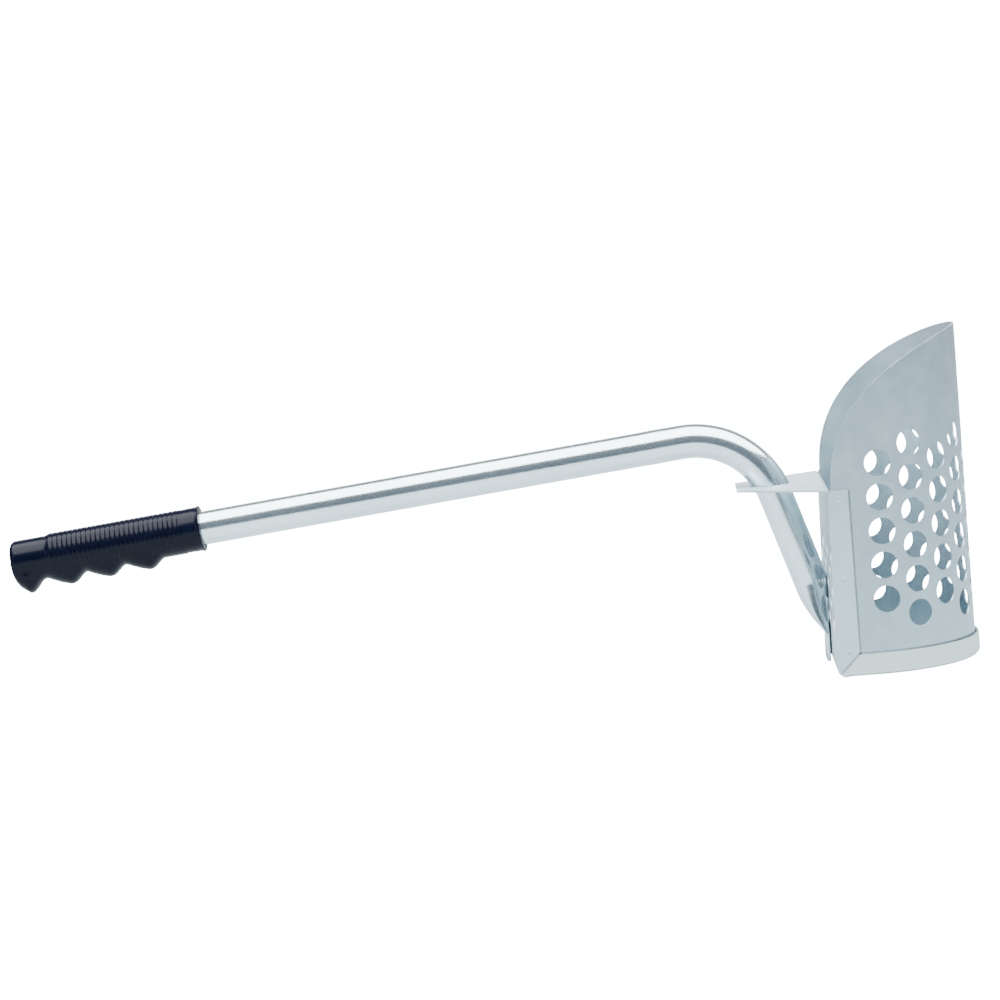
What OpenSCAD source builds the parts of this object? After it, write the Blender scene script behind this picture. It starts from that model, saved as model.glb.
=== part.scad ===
// Long-handled sifting scoop: a perforated sheet-metal basket on a bent tube
// handle with a moulded finger grip.
// +X points to the digging lip, +Z up out of the mouth.
// The origin is the centre of the flat underside of the floor pan.

/* [Basket] */
// Outside width of the rolled basket wall
basket_w = 139; // [115:1:168]
// Flat part of each side wall, from the back plate to where the front curve starts
side_depth = 21; // [17:0.5:36]
// Height of the back plate above the base
back_h = 118; // [98:1:142]
// Rise of the digging lip above the top of the back plate
lip_rise = 95; // [70:1:115]
// Fullness of the mouth curve, where 2 is an ellipse and more is squarer
lip_fullness = 2.15; // [1.8:0.05:2.6]
// Sheet thickness of the rolled basket wall
wall_t = 1.2; // [0.8:0.1:2]
// Sheet thickness of the back plate and the floor pan
plate_t = 1.2; // [0.8:0.1:2]
// Angle by which the back plate leans outwards towards the base
back_lean = 1.5; // [0:0.1:3]

/* [Perforation] */
// Diameter of each sifting hole
hole_d = 16.8; // [8:0.2:18]
// Distance between hole centres up a column
hole_pitch_up = 21.4; // [20:0.1:26]
// Distance between columns of holes, measured round the sheet
hole_pitch_round = 21.9; // [20:0.1:26]
// Height of the lowest hole centre of the wall above the base
first_hole_z = 36.6; // [32:0.2:42]
// How far the perforated field may reach above the top of the back plate
field_above_back = 28; // [10:1:34]
// Least flat land between a hole and the next edge or fold
hole_land = 5; // [3:0.5:8]

/* [Folds] */
// Width of the hem that each side of the back plate folds round the basket wall
hem_w = 11.8; // [9:0.2:15]
// Height of the flange round the floor pan
flange_h = 14; // [10:0.5:18]
// Outside bend radius between the floor and its flange
floor_bend_r = 3.5; // [2.5:0.1:5]
// Outside bend radius of the corner between the back plate and the floor
corner_r = 6; // [4:0.1:9]
// Outside bend radius between the back plate and the shelf
shelf_bend_r = 3; // [2.5:0.1:5]
// Width of the gap left open along each mitred corner
mitre_gap = 0.8; // [0.3:0.1:1.5]
// Clearance between the basket wall and the folds that hold it
sheet_fit = 0.1; // [0.05:0.05:0.4]
// Extra room between the basket wall and the pan flange at the front
front_gap = 1.2; // [0:0.1:2]

/* [Handle shelf] */
// How far the shelf stands out behind the back plate
shelf_len = 56; // [48:1:70]
// Width of the shelf at its free end
shelf_tip_w = 53; // [40:1:80]
// Width left open at each side of the shelf bend as a fold relief
shelf_relief = 3.6; // [2:0.1:6]
// Radial clearance of the handle tube in the shelf
shelf_hole_fit = 0.5; // [0.3:0.1:1]

/* [Handle] */
// Outside diameter of the handle tube
tube_d = 22.2; // [18:0.1:26]
// Wall thickness of the handle tube
tube_t = 1.6; // [1:0.1:2.2]
// Height above the shelf at which the lines of the leg and the handle cross
knee_rise = 36; // [30:1:50]
// Distance from the back plate to the axis of the leg, at the height of the shelf
leg_back = 33; // [30:0.5:38]
// Angle of the leg from the upright
leg_lean = 17.7; // [15:0.1:20]
// Angle by which the handle falls away from the level
handle_fall = 5.6; // [0:0.1:12]
// Length of the handle from the knee to the end of the tube
handle_len = 484; // [390:1:585]
// Centreline radius of the tube bend
bend_r = 55; // [45:1:62]
// Height above the base at which the tube is pressed fully flat
flat_top_z = 20; // [17:0.5:24]
// Height above the base of the lower end of the flattened tab
tab_bottom_z = 2.5; // [1.5:0.5:4]

/* [Tab bolt] */
// Diameter of the countersunk bolt through the tab
bolt_d = 6; // [4:0.5:6]
// Height of the bolt above the base
bolt_z = 11.5; // [10:0.5:13]
// Radial clearance of the bolt in its holes
bolt_fit = 0.2; // [0.1:0.05:0.5]
// Outside diameter of the washer
washer_d = 12; // [10:0.5:13]
// Thickness of the washer
washer_t = 1.6; // [1:0.1:2]
// Width of the nut across its flats
nut_af = 10; // [8:0.5:11]
// Thickness of the nut
nut_t = 5; // [3:0.5:6]

/* [Grip] */
// Length of the finger grip
grip_len = 127; // [105:1:155]
// Wall thickness of the grip over the tube
grip_wall = 3.2; // [2:0.1:5]
// Distance from one finger ridge to the next
finger_pitch = 26; // [23:0.5:29]
// Height of each finger ridge below the round body of the grip
finger_drop = 6.2; // [3:0.2:8]
// Thickness of the closed end of the grip
grip_end_t = 4; // [3:0.5:8]
// Clearance between the grip and the tube
grip_fit = 0.05; // [0.02:0.01:0.2]

/* [Hidden] */

galvanised = [0.72, 0.78, 0.81];
bright_steel = [0.80, 0.84, 0.86];
zinc_plate = [0.66, 0.69, 0.70];
grip_navy = [0.09, 0.10, 0.17];

round_fn = 96;
hole_fn = 48;
cut = 1;        // overshoot of every cutting body
far = 400;      // reach of the trimming bodies
finger_count = 4;

// ---- basket outline, with x measured from the back plate ----
wall_r = basket_w / 2;
basket_depth = side_depth + wall_r;
half_run = side_depth + PI * wall_r / 2;
skin_r = wall_r + sheet_fit + plate_t;
pan_side = side_depth + front_gap;
wall_x0 = plate_t + 0.3;
wall_z0 = floor_bend_r + sheet_fit;

// ---- side profile of the back plate, points are [x, z] ----
lean_dir = [cos(back_lean), -sin(back_lean)];
shelf_c = [plate_t - shelf_bend_r, back_h - shelf_bend_r];
shelf_in_r = shelf_bend_r - plate_t;
corner_c = [shelf_c[0] + (shelf_in_r + corner_r + (corner_r - shelf_c[1]) * sin(back_lean))
            / cos(back_lean), corner_r];
back_len = (shelf_c[0] - corner_c[0]) * sin(back_lean) + (shelf_c[1] - corner_c[1]) * cos(back_lean);
mitre_shift = corner_c[0] - corner_c[1];

// Outer face of the back plate at height z, above the corner bend
function back_face_x(z) = (shelf_in_r - (z - shelf_c[1]) * lean_dir[1]) / lean_dir[0] + shelf_c[0];

// ---- handle line, points are [x, z] ----
knee_h = back_h + knee_rise;
knee = [-leg_back - knee_rise * tan(leg_lean), knee_h];
turn = 90 - leg_lean + handle_fall;
bend_tangent = bend_r * tan(turn / 2);
leg_down = [sin(leg_lean), -cos(leg_lean)];
run_back = [-cos(handle_fall), -sin(handle_fall)];
bend_low = knee + bend_tangent * leg_down;
bend_c = bend_low + bend_r * [-cos(leg_lean), -sin(leg_lean)];
tube_r = tube_d / 2;
bore_r = tube_r - tube_t;
shelf_mid = back_h - plate_t / 2;
// Where the tube passes the shelf: on the bend if that reaches so low, else on the straight leg
bend_at_shelf = shelf_mid > bend_low[1];
hole_tilt = bend_at_shelf ? asin((shelf_mid - bend_c[1]) / bend_r) : leg_lean;
hole_x = bend_at_shelf ? bend_c[0] + bend_r * cos(hole_tilt) : leg_axis_x(shelf_mid);

// ---- flattened end of the tube ----
tab_t = 2 * tube_t;
slant_r = tube_r / cos(leg_lean);
tab_play = 0.05;
function leg_axis_x(z) = knee[0] + (knee_h - z) * tan(leg_lean);
// Height at which the front of the round leg reaches the back plate
press_z = (knee[0] + knee_h * tan(leg_lean) + slant_r + tab_play - back_face_x(0))
          / (tan(leg_lean) + tan(back_lean));
press_rings = 12;
bend_rings = 14;
ring_sides = 40;
mean_girth = PI * (tube_d - tube_t);
// How fast the tube flattens above the flat tab, and how far that is eased into the line of the leg
press_steep = 1.5;
press_ease = 0.25;
press_follow = (tan(leg_lean) + tan(back_lean)) * (press_z - flat_top_z) / (2 * slant_r - tab_t);
// Share of the round leg's thickness that is left at height z
function press_left(z) =
    let (s = (z - flat_top_z) / (press_z - flat_top_z),
         steep = press_steep * s,
         along = 1 - press_follow * (1 - s),
         near = max(press_ease - abs(steep - along), 0) / press_ease)
    max(min(steep, along) - press_ease / 4 * near * near, 0);
function press_thick(z) = z <= flat_top_z ? tab_t
                        : tab_t + (2 * slant_r - tab_t) * press_left(z);
function press_width(z) = max(tube_d,
    (mean_girth - PI * (press_thick(z) - tube_t)) / 2 + press_thick(z));
function sgn_pow(v, p) = sign(v) * pow(abs(v), p);
// Section of the pressed tube at height z, thinned by inset all round
function press_ring(z, inset) =
    let (a = max(press_thick(z) / 2 - inset, 0.06),
         b = press_width(z) / 2 - inset,
         flatness = z <= flat_top_z ? 0 : press_left(z),
         power = 0.45 + 0.55 * flatness,
         cx = back_face_x(z) - tab_play - press_thick(z) / 2)
    [for (i = [0 : ring_sides - 1])
        let (t = 360 * i / ring_sides)
        [cx + a * sgn_pow(cos(t), power), b * sgn_pow(sin(t), power), z]];
press_zs = [for (i = [0 : press_rings]) press_z + (flat_top_z - press_z) * i / press_rings];
// Round section of radius r about the point c, with its first point towards n
function round_ring(c, n, r) =
    [for (i = [0 : ring_sides - 1])
        let (t = 360 * i / ring_sides, out = r * cos(t))
        [c[0] + out * n[0], r * sin(t), c[1] + out * n[1]]];
// Sections from the end of the handle, lengthened by reach, round the bend to the pressed end
function tube_rings(r, inset, reach, zs) = concat(
    [round_ring(knee + (handle_len + reach) * run_back, [-sin(handle_fall), cos(handle_fall)], r)],
    [for (k = [0 : bend_rings])
        let (a = 90 + handle_fall - turn * k / bend_rings, n = [cos(a), sin(a)])
        round_ring(bend_c + bend_r * n, n, r)],
    [for (z = zs) press_ring(z, inset)]);

// ---- bolt ----
bolt_axis_x = back_face_x(bolt_z);
csk_r = bolt_d;
csk_h = csk_r - bolt_d / 2;
bolt_tip = 2;
thread_play = 0.05;

// ---- grip ----
grip_r = tube_r + grip_fit + grip_wall;
end_round = 6;
collar_flare = 0.8;
collar_len = 4;
finger_chord_r = (pow(finger_pitch / 2, 2) + pow(finger_drop, 2)) / (2 * finger_drop);
finger_half_w = 12.5;
first_finger = 9.5;

// ---- perforation counts ----
wall_half_columns = floor((half_run - hem_w - hole_d / 2 - hole_land) / hole_pitch_round + 0.5);
wall_rows = floor((back_h + field_above_back - first_hole_z) / hole_pitch_up) + 1;
back_half_columns = floor((skin_r - plate_t - hole_land - hole_d / 2) / hole_pitch_round + 0.5);
back_rows = floor((back_h - shelf_bend_r - hole_land - hole_d / 2 - first_hole_z) / hole_pitch_up) + 1;
drill_reach = wall_t + 2;
floor_reach = wall_r - floor_bend_r - hole_d / 2 - hole_land;
floor_rear = corner_c[0] + hole_d / 2 + hole_land;
floor_half_count = ceil(wall_r / min(hole_pitch_up, hole_pitch_round));

// Puts what is drawn from the back plate into the frame of the base centre
module placed() translate([-basket_depth / 2, 0, 0]) children();

// Stands a drawing of [x, z] points upright and gives it a width across y
module across(width) rotate([90, 0, 0]) linear_extrude(height = width, center = true) children();

// Quarter of a bent sheet between the angles from and to
module bend_2d(c, r, t, from, to) {
    translate(c) intersection() {
        difference() {
            circle(r, $fn = round_fn);
            circle(r - t, $fn = round_fn);
        }
        polygon([[0, 0],
                 [2 * r * cos(from), 2 * r * sin(from)],
                 [3 * r * cos((from + to) / 2), 3 * r * sin((from + to) / 2)],
                 [2 * r * cos(to), 2 * r * sin(to)]]);
    }
}

// Plan of the basket: straight sides from x0 that run into a half-round front
module basket_plan(r, x0, side) {
    translate([side, 0]) intersection() {
        circle(r, $fn = 2 * round_fn);
        translate([0, -r]) square([r, 2 * r]);
    }
    translate([x0, -r]) square([side - x0, 2 * r]);
}

// ---- perforated wall ----

// Side view of everything under the mouth curve
module under_mouth() {
    step = 5;
    across(2 * far) polygon(concat(
        [[-far, -cut], [-far, back_h]],
        [for (a = [0 : step : 90])
            let (s = half_run * (1 - pow(cos(a), 2 / lip_fullness)),
                 x = s < side_depth ? s : side_depth + wall_r * sin((s - side_depth) / wall_r * 180 / PI))
            [x, back_h + lip_rise * pow(sin(a), 2 / lip_fullness)]],
        [[far, back_h + lip_rise], [far, -cut]]));
}

// Places a drill through the wall at distance s round it from the front centre
module at_wall(s, z) {
    curve = PI * wall_r / 2;
    if (abs(s) <= curve)
        translate([side_depth, 0, z]) rotate([0, 90, 0]) rotate([-s / wall_r * 180 / PI, 0, 0]) children();
    else
        translate([side_depth - (abs(s) - curve), 0, z]) rotate([-90 * sign(s), 0, 0]) children();
}

module basket_shell() {
    color(galvanised) placed() difference() {
        intersection() {
            translate([0, 0, wall_z0]) linear_extrude(height = back_h + lip_rise) difference() {
                basket_plan(wall_r, wall_x0, side_depth);
                basket_plan(wall_r - wall_t, wall_x0 - cut, side_depth);
            }
            under_mouth();
        }
        for (i = [-wall_half_columns : wall_half_columns - 1])
            let (long = (i + wall_half_columns) % 2 == 1, lift = long ? 0 : hole_pitch_up / 2)
            for (j = [0 : wall_rows - (long ? 1 : 2)])
                at_wall((i + 0.5) * hole_pitch_round, first_hole_z + lift + j * hole_pitch_up)
                    translate([0, 0, wall_r - drill_reach])
                        cylinder(h = drill_reach + cut, d = hole_d, $fn = hole_fn);
    }
}

// ---- back plate ----

// Side view of one hem, run on below the mitre that trims it
module hem_2d() {
    fold = plate_t / 2;
    polygon(concat(
        [[hem_w, back_h], [back_face_x(back_h) + fold, back_h]],
        [for (k = [0 : 4])
            let (a = 180 - back_lean + (60 + back_lean) * k / 4)
            corner_c + (corner_r - fold) * [cos(a), sin(a)]],
        [[hem_w, 0]]));
}

module back_plate() {
    root_w = 2 * (skin_r - plate_t - shelf_relief);
    gap = mitre_gap * sqrt(2) / 2;
    color(galvanised) placed() difference() {
        union() {
            across(2 * skin_r) {
                translate(shelf_c) rotate(-back_lean)
                    translate([shelf_in_r, -back_len]) square([plate_t, back_len]);
                bend_2d(corner_c, corner_r, plate_t, 180 - back_lean, 270);
            }
            for (side = [-1, 1])
                translate([0, side * (skin_r - plate_t / 2), 0]) across(plate_t) hem_2d();
            intersection() {
                across(root_w) {
                    bend_2d(shelf_c, shelf_bend_r, plate_t, -back_lean, 90);
                    translate([-shelf_len, back_h - plate_t])
                        square([shelf_len + shelf_c[0], plate_t]);
                }
                linear_extrude(height = far) polygon([
                    [-shelf_len, -shelf_tip_w / 2], [shelf_c[0], -root_w / 2], [far, -root_w / 2],
                    [far, root_w / 2], [shelf_c[0], root_w / 2], [-shelf_len, shelf_tip_w / 2]]);
            }
        }
        // mitre of the hems over the flange of the pan
        for (side = [-1, 1])
            translate([mitre_shift, side * (skin_r + (cut - plate_t) / 2), gap]) across(plate_t + cut)
                polygon([[-far, -far], [far, far], [far, -far]]);
        // close hole for the handle tube, square to the tube where it passes the shelf
        translate([hole_x, 0, shelf_mid]) rotate([0, -hole_tilt, 0])
            cylinder(h = 2 * (tube_r + shelf_hole_fit) * tan(hole_tilt) + 6 * plate_t,
                     r = tube_r + shelf_hole_fit, center = true, $fn = round_fn);
        // sifting holes in the plate
        for (i = [-back_half_columns : back_half_columns - 1])
            let (long = (i + back_half_columns) % 2 == 0, lift = long ? 0 : hole_pitch_up / 2)
            for (j = [0 : back_rows - (long ? 1 : 2)])
                let (z = first_hole_z + lift + j * hole_pitch_up)
                translate([back_face_x(z), (i + 0.5) * hole_pitch_round, z])
                    rotate([0, 90 + back_lean, 0])
                        cylinder(h = 8 * plate_t, d = hole_d, center = true, $fn = hole_fn);
        bolt_hole();
    }
}

// ---- floor pan ----

// Half section of the pan rim: flange, bend and the edge of the floor
module pan_rim_2d(r) {
    bend_2d([r - floor_bend_r, floor_bend_r], floor_bend_r, plate_t, 270, 360);
    translate([r - plate_t, floor_bend_r]) square([plate_t, flange_h - floor_bend_r]);
    square([r - floor_bend_r, plate_t]);
}

// Side view of the flange where it runs back under the mitre to the corner bend
module flange_heel_2d(gap) {
    arc_start = 225 + 180 / PI * gap / sqrt(2) / corner_r;
    polygon(concat(
        [for (k = [0 : 4])
            let (a = arc_start + (270 - arc_start) * k / 4)
            corner_c + corner_r * [cos(a), sin(a)]],
        [[corner_c[0], corner_c[0] - mitre_shift - gap]]));
}

module floor_pan() {
    gap = mitre_gap * sqrt(2) / 2;
    color(galvanised) placed() difference() {
        union() {
            translate([pan_side, 0, 0]) rotate([0, 0, -90])
                rotate_extrude(angle = 180, $fn = 2 * round_fn) pan_rim_2d(skin_r);
            for (side = [0, 1])
                mirror([0, side, 0]) translate([corner_c[0], 0, 0])
                    rotate([90, 0, 90]) linear_extrude(height = pan_side - corner_c[0])
                        pan_rim_2d(skin_r);
            for (side = [-1, 1])
                translate([0, side * (skin_r - plate_t / 2), 0]) across(plate_t) flange_heel_2d(gap);
        }
        // mitre against the hems of the back plate
        across(2 * far) polygon([[mitre_shift + gap - far, -far], [mitre_shift + gap + far, far],
                                 [-far, far]]);
        // sifting holes, laid out from the middle of the base
        for (j = [-floor_half_count : floor_half_count])
            for (i = [-floor_half_count : floor_half_count])
                let (px = basket_depth / 2 + (i + (j % 2 == 0 ? 0.5 : 0)) * hole_pitch_up,
                     py = j * hole_pitch_round)
                if (px > floor_rear && norm([max(px - side_depth, 0), py]) < floor_reach)
                    translate([px, py, -cut]) cylinder(h = plate_t + 2 * cut, d = hole_d, $fn = hole_fn);
    }
}

// ---- handle ----

// Closed skin over a row of sections, each with the same number of points
module skinned(rings) {
    n = len(rings[0]);
    last = (len(rings) - 1) * n;
    sides = [for (k = [0 : len(rings) - 2], i = [0 : n - 1])
        let (a = k * n + i, b = k * n + (i + 1) % n)
        each [[a, b, b + n], [a, b + n, a + n]]];
    polyhedron([for (ring = rings) each ring], concat(sides,
        [[for (i = [n - 1 : -1 : 0]) i], [for (i = [0 : n - 1]) last + i]]));
}

module handle_tube() {
    color(bright_steel) placed() difference() {
        skinned(tube_rings(tube_r, 0, 0, concat(press_zs, [tab_bottom_z])));
        skinned(tube_rings(bore_r, tube_t, cut, press_zs));
        bolt_hole();
        bolt_frame() translate([0, 0, -tab_play - tab_t - cut])
            cylinder(h = csk_h + cut, r1 = csk_r + cut, r2 = bolt_d / 2, $fn = hole_fn);
    }
}

// ---- tab bolt, with z along the bolt into the basket from the outer face of the plate ----

module bolt_frame() translate([bolt_axis_x, 0, bolt_z]) rotate([0, 90 + back_lean, 0]) children();

module bolt_hole() bolt_frame() translate([0, 0, -tab_t - 2 * cut])
    cylinder(h = tab_t + plate_t + 4 * cut, r = bolt_d / 2 + bolt_fit, $fn = hole_fn);

module tab_bolt() {
    head_z = -tab_play - tab_t;
    color(zinc_plate) placed() bolt_frame() difference() {
        union() {
            translate([0, 0, head_z])
                cylinder(h = csk_h, r1 = csk_r, r2 = bolt_d / 2, $fn = hole_fn);
            translate([0, 0, head_z])
                cylinder(h = tab_play + tab_t + plate_t + washer_t + nut_t + bolt_tip,
                         d = bolt_d, $fn = hole_fn);
        }
        // socket for a hexagon key
        translate([0, 0, head_z - cut]) cylinder(h = csk_h / 2 + cut, r = bolt_d / 3, $fn = 6);
    }
}

module tab_washer() {
    color(zinc_plate) placed() bolt_frame() translate([0, 0, plate_t]) difference() {
        cylinder(h = washer_t, d = washer_d, $fn = hole_fn);
        translate([0, 0, -cut]) cylinder(h = washer_t + 2 * cut, r = bolt_d / 2 + bolt_fit, $fn = hole_fn);
    }
}

module tab_nut() {
    color(zinc_plate) placed() bolt_frame() translate([0, 0, plate_t + washer_t]) difference() {
        cylinder(h = nut_t, d = nut_af / cos(30), $fn = 6);
        translate([0, 0, -cut]) cylinder(h = nut_t + 2 * cut, r = bolt_d / 2 + thread_play, $fn = hole_fn);
    }
}

// ---- grip, with z up the handle from the end of the tube and x towards the fingers ----

module grip_frame() {
    tube_end = knee + handle_len * run_back;
    translate([tube_end[0], 0, tube_end[1]]) rotate([0, 90 - handle_fall, 0]) children();
}

// Closed round body of radius r with its end rounded by e
module rounded_stick(r, e, length) {
    rotate_extrude($fn = round_fn) intersection() {
        union() {
            translate([0, e]) square([r, length - e]);
            square([r - e, length]);
            translate([r - e, e]) circle(e, $fn = hole_fn);
        }
        square([far, far]);
    }
}

module finger_grip() {
    lobe_x = grip_r + finger_drop;
    color(grip_navy) placed() grip_frame() difference() {
        union() {
            translate([0, 0, -grip_end_t]) rounded_stick(grip_r, end_round, grip_len);
            translate([0, 0, grip_len - grip_end_t - collar_len])
                cylinder(h = collar_len, r1 = grip_r - cut, r2 = grip_r + collar_flare, $fn = round_fn);
            intersection() {
                translate([0, 0, -grip_end_t]) rounded_stick(lobe_x + cut, 1.5 * end_round, grip_len);
                translate([lobe_x - finger_half_w, 0, -grip_end_t])
                    cylinder(h = grip_len, r = finger_half_w, $fn = round_fn);
                for (i = [0 : finger_count - 1])
                    translate([lobe_x - finger_chord_r, 0, first_finger - grip_end_t + i * finger_pitch])
                        rotate([90, 0, 0])
                            cylinder(h = 4 * finger_half_w, r = finger_chord_r, center = true, $fn = round_fn);
            }
        }
        cylinder(h = grip_len, r = tube_r + grip_fit, $fn = round_fn);
    }
}

back_plate();
floor_pan();
basket_shell();
handle_tube();
finger_grip();
tab_bolt();
tab_washer();
tab_nut();
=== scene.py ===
"""Looks of a long-handled sifting scoop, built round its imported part.

The basket is made the way a sheet-metal shop makes it: the wall is punched flat and then rolled,
the back plate is folded from one strip, and the pan is drawn round the wall. Every length is in
metres, and X is measured from the back plate until a piece is set down in the shared frame.
"""

import logging
import math
from collections.abc import Callable, Iterator
from contextlib import contextmanager
from dataclasses import dataclass
from enum import Enum

import bmesh
import bpy
from mathutils import Matrix, Vector


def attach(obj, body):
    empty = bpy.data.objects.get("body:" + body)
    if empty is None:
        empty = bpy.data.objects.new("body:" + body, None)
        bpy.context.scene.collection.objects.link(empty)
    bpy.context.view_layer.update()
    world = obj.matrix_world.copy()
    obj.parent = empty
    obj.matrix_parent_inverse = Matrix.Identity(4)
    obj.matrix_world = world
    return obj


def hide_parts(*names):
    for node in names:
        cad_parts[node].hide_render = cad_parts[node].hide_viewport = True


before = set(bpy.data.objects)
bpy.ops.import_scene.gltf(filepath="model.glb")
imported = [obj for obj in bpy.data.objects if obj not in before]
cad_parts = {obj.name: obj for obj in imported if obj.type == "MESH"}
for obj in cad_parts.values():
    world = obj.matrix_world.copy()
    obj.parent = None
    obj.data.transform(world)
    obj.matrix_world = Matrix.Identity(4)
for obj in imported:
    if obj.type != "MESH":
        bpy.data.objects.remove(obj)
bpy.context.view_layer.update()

LOG = logging.getLogger("scoop")
MM = 0.001
ROOT = "root"

#: Distance within which a cut's points count as lying on it, and points become one.
ON_CUT, MERGED = 1e-7, 1e-6
#: Angle above which an edge is sharp enough to be rounded.
SHARP = math.radians(40)
#: How far broad faces rule the normals round them, out of 100.
BROAD_RULE = 80
#: Cosine of half a right angle.
HALF_RIGHT = math.sqrt(0.5)

Point = tuple[float, float, float]
Colour = tuple[float, float, float]
Span = tuple[float, float]
Body = bpy.types.Object


# ---------------------------------------------------------------- bench tools


def deselect() -> None:
    """Leaves object mode with nothing selected."""
    if bpy.context.object and bpy.context.object.mode != "OBJECT":
        bpy.ops.object.mode_set(mode="OBJECT")
    bpy.ops.object.select_all(action="DESELECT")


def take_all(kind: str) -> None:
    """Selects every VERT, EDGE or FACE of the open mesh."""
    bpy.ops.mesh.select_mode(type=kind)
    bpy.ops.mesh.select_all(action="SELECT")


def activate(obj: Body) -> Body:
    """Selects one object alone and makes it the active one."""
    deselect()
    obj.select_set(True)
    bpy.context.view_layer.objects.active = obj
    return obj


@contextmanager
def editing(obj: Body) -> Iterator[Body]:
    """Opens an object in edit mode with all of it selected, and closes it again."""
    activate(obj)
    bpy.ops.object.mode_set(mode="EDIT")
    take_all("VERT")
    yield obj
    bpy.ops.object.mode_set(mode="OBJECT")


def set_down(obj: Body) -> Body:
    """Moves an object's place, turn and scale into its mesh."""
    activate(obj)
    bpy.ops.object.transform_apply(location=True, rotation=True, scale=True)
    return obj


def pick_edges(obj: Body, test: Callable[[bmesh.types.BMEdge], bool]) -> bool:
    """Selects the open mesh's edges that pass a test, and says whether there are any."""
    bpy.ops.mesh.select_mode(type="EDGE")
    bpy.ops.mesh.select_all(action="DESELECT")
    net = bmesh.from_edit_mesh(obj.data)
    wanted = [edge for edge in net.edges if test(edge)]
    for edge in wanted:
        edge.select_set(True)
    bmesh.update_edit_mesh(obj.data)
    return bool(wanted)


def pull(step: Point) -> None:
    """Extrudes the selection and moves the new end by a step."""
    bpy.ops.mesh.extrude_region_move(TRANSFORM_OT_translate={"value": step})


def widen(*factors: float) -> None:
    """Scales the selection about its middle, by a factor for each axis."""
    bpy.ops.transform.resize(value=factors)


def sweep(centre: Point, axis: Point, angle: float,
          steps: int) -> None:
    """Extrudes the selection along an arc.

    Args:
        centre: Centre of the arc.
        axis: Axis it turns about, by the right hand.
        angle: Angle of the arc in radians.
        steps: Number of segments.
    """
    bpy.ops.mesh.spin(steps=steps, angle=-angle, center=centre, axis=axis)


def slice_off(point: Point, outward: Point) -> None:
    """Cuts away what lies outward of a plane through a point, and closes the cut."""
    bpy.ops.mesh.select_all(action="SELECT")
    bpy.ops.mesh.bisect(plane_co=point, plane_no=outward, clear_outer=True, use_fill=True,
                        threshold=ON_CUT)


def apply(obj: Body, kind: str, **settings: object) -> None:
    """Adds a modifier of one kind, with its settings, and applies it."""
    activate(obj)
    modifier = obj.modifiers.new(kind.title(), kind)
    for name, value in settings.items():
        setattr(modifier, name, value)
    bpy.ops.object.modifier_apply(modifier=modifier.name)


def hold_width(obj: Body, half: float) -> None:
    """Presses back what a rounding pushed past half of a piece's width."""
    for vertex in obj.data.vertices:
        vertex.co.y = max(-half, min(half, vertex.co.y))


def combine(body: Body, tools: list[Body], operation: str) -> None:
    """Joins tools into one and works it on a body, by UNION or DIFFERENCE."""
    deselect()
    for tool in tools:
        tool.select_set(True)
    bpy.context.view_layer.objects.active = tools[0]
    if len(tools) > 1:
        bpy.ops.object.join()
    apply(body, "BOOLEAN", object=tools[0], operation=operation, solver="EXACT")
    bpy.data.objects.remove(tools[0])


def round_edges(obj: Body, width: float, segments: int,
                test: Callable[[bmesh.types.BMEdge], bool] | None = None) -> None:
    """Rounds the sharp edges of a piece.

    Args:
        obj: The piece.
        width: Width of the rounding.
        segments: Number of segments across it.
        test: Narrows the choice further, if given.
    """
    with editing(obj):
        if pick_edges(obj, lambda edge: edge.is_manifold and edge.calc_face_angle(0) > SHARP
                      and (test is None or test(edge))):
            bpy.ops.mesh.bevel(offset=width, segments=segments, affect="EDGES", clamp_overlap=True)


def tidy_shell(obj: Body) -> None:
    """Merges doubles and turns every face outwards."""
    with editing(obj):
        bpy.ops.mesh.remove_doubles(threshold=MERGED)
        bpy.ops.mesh.select_all(action="SELECT")
        bpy.ops.mesh.normals_make_consistent(inside=False)


def smooth(obj: Body, angle: float = 35, weighted: bool = True) -> None:
    """Shades a piece smooth up to an angle in degrees, its broad faces flat if weighted."""
    activate(obj)
    bpy.ops.object.shade_smooth_by_angle(angle=math.radians(angle))
    if weighted:
        apply(obj, "WEIGHTED_NORMAL", weight=BROAD_RULE, keep_sharp=True)


def drill(diameter: float, length: float, place: Point,
          turn: Point = (0, 0, 0), sides: int = 40,
          tip: float | None = None) -> Body:
    """Makes a round cutter.

    Args:
        diameter: Its diameter, at its lower end if it tapers.
        length: Its length.
        place: Its middle.
        turn: Its rotation in radians.
        sides: Number of sides.
        tip: Diameter at its upper end, if it tapers.

    Returns:
        The cutter.
    """
    deselect()
    upper = diameter if tip is None else tip
    bpy.ops.mesh.primitive_cone_add(vertices=sides, radius1=diameter / 2, radius2=upper / 2,
                                    depth=length, location=place, rotation=turn)
    return set_down(bpy.context.object)


def block(low: Point, high: Point) -> Body:
    """Makes a box between its lowest and its highest corner."""
    deselect()
    middle = [(a + b) / 2 for a, b in zip(low, high)]
    size = [b - a for a, b in zip(low, high)]
    bpy.ops.mesh.primitive_cube_add(size=1, location=middle, scale=size)
    return set_down(bpy.context.object)


def side_block(side: int, across: Span, along: Span, up: Span) -> Body:
    """Makes a box on one side of the middle plane from its spans in Y, X and Z."""
    low, high = sorted(side * y for y in across)
    return block((along[0], low, up[0]), (along[1], high, up[1]))


def disc(sides: int, radius: float, **place: object) -> Body:
    """Makes one flat face, with its location and rotation if they are given."""
    deselect()
    bpy.ops.mesh.primitive_circle_add(vertices=sides, radius=radius, fill_type="NGON", **place)
    return set_down(bpy.context.object)


# ---------------------------------------------------------------- finishes


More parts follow.
